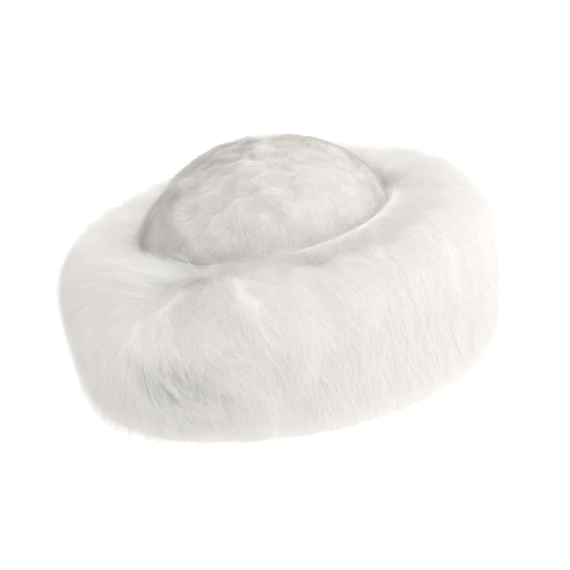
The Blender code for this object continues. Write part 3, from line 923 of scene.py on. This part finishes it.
# %% [markdown]
# ## The underfur
#
# Under the long hair a real pelt has dense, short down that no light gets through. A closed ring
# of the same white stands for it, so that no hollow shows between the strands. Its normals come
# mostly from the smooth form, because the down's own relief would show through as hard facets.

# %% Close the ring below and beside the crown
UNDER, BESIDE = 8, 5  # steps in along the floor, and up beside the crown
BAND_GAP = 0.0004
RELIEF_IN_SHADE = 0.6
LIP_SHADE = (0.03, 0.20)

under_share = np.linspace(0, 1, UNDER + 1)[1:]
beside_share = np.linspace(0, 1, BESIDE + 1)[1:]
foot_end, lip_foot = skin[:, -1], skin[:, 0]
band_foot = on_cuff(ring_angle, np.full(AROUND, lip_start), FUR_DEPTH)
band_foot[:, 2] = UNDER_HEIGHT
outwards = band_foot - np.array([MIDDLE.x, MIDDLE.y, UNDER_HEIGHT])
outwards /= np.linalg.norm(outwards, axis=1, keepdims=True)
band_foot += BAND_GAP * outwards
below = foot_end[:, None] + (band_foot - foot_end)[:, None] * under_share[None, :, None]
beside = band_foot[:, None] + (lip_foot - band_foot)[:, None] * beside_share[None, :, None]
ring = np.concatenate([skin, below, beside], axis=1)
underfur = add_object("cuff_underfur", grid_mesh("cuff_underfur", ring))

smooth_form = directions(on_cuff(angle_grid, along_grid, 0.0))[2]
by_lip = (1 - smooth_step(over_share, *LIP_SHADE))[None, :, None]
facing = smooth_form + (out_way - smooth_form) * (RELIEF_IN_SHADE * ruffled)[..., None]
facing = facing * (1 - by_lip) + np.array([0.0, 0.0, 1.0]) * by_lip
facing /= np.linalg.norm(facing, axis=2, keepdims=True)
below_facing = np.broadcast_to([0.0, 0.0, -1.0], below.shape)
beside_facing = np.broadcast_to(-outwards[:, None], beside.shape)
ring_facing = np.concatenate([facing, below_facing, beside_facing], axis=1)
underfur.data.normals_split_custom_set_from_vertices(ring_facing.reshape(-1, 3))
underfur.data.materials.append(long_down)
print("underfur:", len(underfur.data.polygons), "faces")

# %% [markdown]
# ## The crown
#
# The dome is one shell of sheared pelt, open below. It could be a squashed ball, but the real
# crown goes straight down inside the cuff, so it is drawn as rings: a dome, and a band below it.

# %% Rings of points for the dome and the band
CROWN_AROUND, DOME_RINGS, BAND_RINGS = 160, 44, 12
POLE_GAP = 0.01  # the first ring stands this far from the pole, as an angle
crown_angle = np.linspace(0, 2 * math.pi, CROWN_AROUND, endpoint=False)


def dome_rows(half_width, half_length, top, foot_width, foot_length, foot_level):
    """Rings of points from the pole down to the dome's foot, and straight on down to the hem."""
    turns = np.linspace(math.pi / 2, 0, DOME_RINGS)
    turns[0] -= POLE_GAP
    shares, levels = np.cos(turns), DOME_FOOT + (top - DOME_FOOT) * np.sin(turns)
    widths, lengths = half_width * shares, half_length * shares
    down = np.linspace(0, 1, BAND_RINGS + 1)[1:]
    widths = np.concatenate([widths, half_width + (foot_width - half_width) * down])
    lengths = np.concatenate([lengths, half_length + (foot_length - half_length) * down])
    levels = np.concatenate([levels, DOME_FOOT + (foot_level - DOME_FOOT) * down])
    x = MIDDLE.x + widths[None] * np.cos(crown_angle)[:, None]
    y = MIDDLE.y + lengths[None] * np.sin(crown_angle)[:, None]
    return np.stack([x, y, np.broadcast_to(levels[None], x.shape)], axis=-1)


PILE_DEPTH = 0.0015
crown_skin = dome_rows(DOME_HALF_WIDTH - PILE_DEPTH, DOME_HALF_LENGTH - PILE_DEPTH,
                       CROWN_TOP - PILE_DEPTH, BAND_HALF_WIDTH, BAND_HALF_LENGTH, 0.0)
print("crown rings:", crown_skin.shape)

# %% [markdown]
# ## The nap and the flared foot
#
# Sheared pile shows a nap of small hollows where it was rubbed one way or the other. It is a
# fractal noise that moves the skin in and out by less than a millimetre, and it is strongest in
# the middle of the crown. At the left the dome's foot also flares out a little.

# %% Shape the crown's skin
NAP_SIZE, NAP_DEPTH = 0.015, 0.0006
NAP_MIDDLE, NAP_REACH = -0.008, 0.038  # across the crown: the sides are smoother
NAP_AT_SIDES, NAP_IN_MIDDLE = 0.15, 0.85
NAP_STARTS, NAP_ENDS = (0.06, 0.10), (0.001, 0.012)  # up from the floor, and down from the top
FLARE_STARTS, FLARE_ENDS = (0.080, 0.103), (0.108, 0.150)

nap = np.array([noise.fractal(Vector(point) / NAP_SIZE, 0.6, 2.0, 3)
                for point in crown_skin.reshape(-1, 3)]).reshape(crown_skin.shape[:2])
crown_middle = np.array([MIDDLE.x, MIDDLE.y, DOME_FOOT])
outward = crown_skin - crown_middle
outward /= np.linalg.norm(outward, axis=2, keepdims=True)
in_nap = np.exp(-(((crown_skin[..., 0] - NAP_MIDDLE) / NAP_REACH) ** 2))
level = crown_skin[..., 2]
nap = nap / nap.std() * NAP_DEPTH / 2 * (NAP_AT_SIDES + NAP_IN_MIDDLE * in_nap)
nap = nap * smooth_step(level, *NAP_STARTS) * smooth_step(CROWN_TOP - level, *NAP_ENDS)
crown_skin += outward * nap[..., None]
flared = smooth_step(level, *FLARE_STARTS) * (1 - smooth_step(level, *FLARE_ENDS))
flared = FLARE * flared * near_angle(crown_angle, FLARE_ANGLE, FLARE_REACH)[:, None]
crown_skin[..., 0] += flared * np.cos(crown_angle)[:, None]
crown_skin[..., 1] += flared * np.sin(crown_angle)[:, None]
print("nap up to", round(float(np.abs(nap).max()) * 1000, 2), "mm")

# %% [markdown]
# ## The shell
#
# A pelt has a thickness, and the hat is open below, so the skin gets an inner wall. The two walls
# meet at the hem, and a pole closes each at the top.

# %% Close the crown's shell
PELT, DOME_WALL = 0.0025, 0.008
inner_half = (DOME_HALF_WIDTH - DOME_WALL, DOME_HALF_LENGTH - DOME_WALL)
hem_half = (BAND_HALF_WIDTH - PELT, BAND_HALF_LENGTH - PELT)
lining = dome_rows(*inner_half, CROWN_TOP - DOME_WALL, *hem_half, 0.0)
shell = np.concatenate([crown_skin, lining[:, ::-1]], axis=1)
poles = [(MIDDLE.x, MIDDLE.y, CROWN_TOP - depth) for depth in (PILE_DEPTH, DOME_WALL)]
crown_shell = add_object("crown_shell", grid_mesh("crown_shell", shell, poles=poles))
crown_shell.data.materials.append(short_down_tint_and_shade)
print("crown shell:", len(crown_shell.data.polygons), "faces")

# %% [markdown]
# ## The crown's pile
#
# The pile is short and stands up more than the cuff's fur, so it shows as a nap and not as locks.
# It is brushed forwards and a little to the left, with swirls. Where it stands up, at the left,
# one looks into the ends of the hairs, and it is darker.

# %% Grow the crown's pile
BRUSHED_TO = (-0.25, -0.85, -0.45)
LEAST_BRUSHED = 0.2
SWIRL_TURN, SWIRL_SIZE = math.radians(35), 0.022
STANDING_ZONE = (0.0, 0.065)
PILE_BEND = 11.0  # about one over the dome's mean radius
PILE_GATHER, GATHER_IN_NAP = 0.2, 0.9
PILE_LOOSE, LOOSER_IN_NAP, LOOSER_STANDING = 0.7, 0.5, 0.8
PILE_GROWTH, LONGER_IN_NAP = 0.7, 0.3

pile_rows = crown_skin[:, :DOME_RINGS + 1]
pile_facing = outward[:, :DOME_RINGS + 1]
brushed = np.broadcast_to(np.array(BRUSHED_TO), pile_rows.shape)
brushed = brushed - pile_facing * np.sum(brushed * pile_facing, axis=2, keepdims=True)
brushed /= np.maximum(np.linalg.norm(brushed, axis=2, keepdims=True), LEAST_BRUSHED)
swirl = np.array([noise.noise(Vector(point) / SWIRL_SIZE) for point in pile_rows.reshape(-1, 3)])
swirl = (swirl / swirl.std() * SWIRL_TURN).reshape(pile_rows.shape[:2])[..., None]
brushed = brushed * np.cos(swirl) + np.cross(pile_facing, brushed) * np.sin(swirl)
pile_nap = in_nap[:, :DOME_RINGS + 1].ravel()
standing = smooth_step(-pile_rows[..., 0].ravel(), *STANDING_ZONE)

pile_skin = grid_mesh("crown_pile_skin", pile_rows)
for attribute, value in (("cover", 1.0), ("bend", PILE_BEND), ("crimp", 1.0)):
    carry(pile_skin, attribute, np.full(pile_nap.size, value))
carry(pile_skin, "gather", PILE_GATHER + GATHER_IN_NAP * pile_nap)
carry(pile_skin, "loose", PILE_LOOSE + LOOSER_IN_NAP * pile_nap + LOOSER_STANDING * standing)
carry(pile_skin, "growth", PILE_GROWTH + LONGER_IN_NAP * np.maximum(pile_nap, standing))
carry(pile_skin, "flow", brushed.reshape(-1, 3))
crown_pile = grow(
    "crown_pile", pile_skin, seed=9, finish=short_pile_tone_and_shade, strands=1.80e6, joints=2,
    length=0.0080, width=0.00012, lift=0.80, tallest=0.006, straying=0.55,
    tuft_spacing=0.011, tuft_pull=0.25, tuft_straying=0.40,
    lock_spacing=0.0026, lock_pull=0.15, lock_straying=0.15,
    crimp_height=0.0004, crimp_length=0.005, map_side=320)

# %% [markdown]
# ## Fasten the pieces to the frame
#
# Every piece rides on the hat's one body, and the solid that it stands for is hidden.

# %% Ride and replace
for piece in (*cuff_fur, underfur):
    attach(piece, "root")
    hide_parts("cuff")
for piece in (crown_shell, crown_pile):
    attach(piece, "root")
    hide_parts("crown")

# %% [markdown]
# ## The floor
#
# White fur is photographed on white, and the floor throws light up under it. A floor that is only
# lit would look grey beside the fur, so this one is pale cloth that also glows a little.

# %% Lay the floor
FLOOR_HALF = 12.0
FLOOR_GLOW = 0.85
floor_mesh = bpy.data.meshes.new("floor")
corners = [(x * FLOOR_HALF, y * FLOOR_HALF, 0) for x, y in ((-1, -1), (1, -1), (1, 1), (-1, 1))]
floor_mesh.from_pydata(corners, [], [(0, 1, 2, 3)])
floor = add_object("floor", floor_mesh)
floor_finish = bpy.data.materials.new("white_studio_floor")
floor_finish.use_nodes = True
floor_shader = floor_finish.node_tree.nodes["Principled BSDF"].inputs
floor_shader["Base Color"].default_value = colour("#BEBEBE")
floor_shader["Roughness"].default_value = 0.9
floor_shader["Emission Color"].default_value = colour("#FFFDFA")
floor_shader["Emission Strength"].default_value = FLOOR_GLOW
floor_mesh.materials.append(floor_finish)
print("floor:", 2 * FLOOR_HALF, "m wide")

# %% [markdown]
# ## The light
#
# The hat stands in a tent of white cloth, so light comes from everywhere. The tent is a little
# brighter above and at the right, and one large soft box at the upper right gives the form.

# %% A white tent and one soft box
TENT_STRENGTH = 0.95
MORE_TO_RIGHT, MORE_BEHIND, MORE_ABOVE = 0.32, 0.08, 0.42
world = bpy.data.worlds.new("white_tent")
world.use_nodes = True
tent = world.node_tree
direction = add_node(tent, "ShaderNodeTexCoord").outputs["Generated"]
brighter = (MORE_TO_RIGHT, MORE_BEHIND, MORE_ABOVE)
graded = add_node(tent, "ShaderNodeVectorMath", {0: direction, 1: brighter},
                  operation="DOT_PRODUCT").outputs["Value"]
strength = add_node(tent, "ShaderNodeMath", {0: graded, 1: TENT_STRENGTH}, operation="ADD")
tent.links.new(strength.outputs[0], tent.nodes["Background"].inputs["Strength"])
tent.nodes["Background"].inputs["Color"].default_value = colour("#FFFDFA")
bpy.context.scene.world = world

LAMP_PLACE, LAMP_AIM = Vector((1.3, -0.5, 1.4)), Vector((0, 0, 0.08))
LAMP_SIZE, LAMP_WATTS = 2.0, 12
lamp = bpy.data.lights.new("upper_right_softbox", "AREA")
lamp.size = LAMP_SIZE
lamp.energy = LAMP_WATTS
softbox = add_object("upper_right_softbox", lamp)
softbox.location = LAMP_PLACE
softbox.rotation_euler = (LAMP_AIM - LAMP_PLACE).to_track_quat("-Z", "Y").to_euler()
print("soft box:", LAMP_SIZE, "m wide,", LAMP_WATTS, "W")

# %% [markdown]
# ## How far light travels
#
# Light goes from strand to strand many times in a white coat. With few bounces the hollows would
# go grey, so more are allowed than usual. The picture is shown without a film curve, because the
# photograph's white is plain white.

# %% Bounces and the view
BOUNCES = 12
bpy.context.scene.cycles.diffuse_bounces = BOUNCES
bpy.context.scene.cycles.transmission_bounces = BOUNCES
bpy.context.scene.view_settings.view_transform = "Standard"
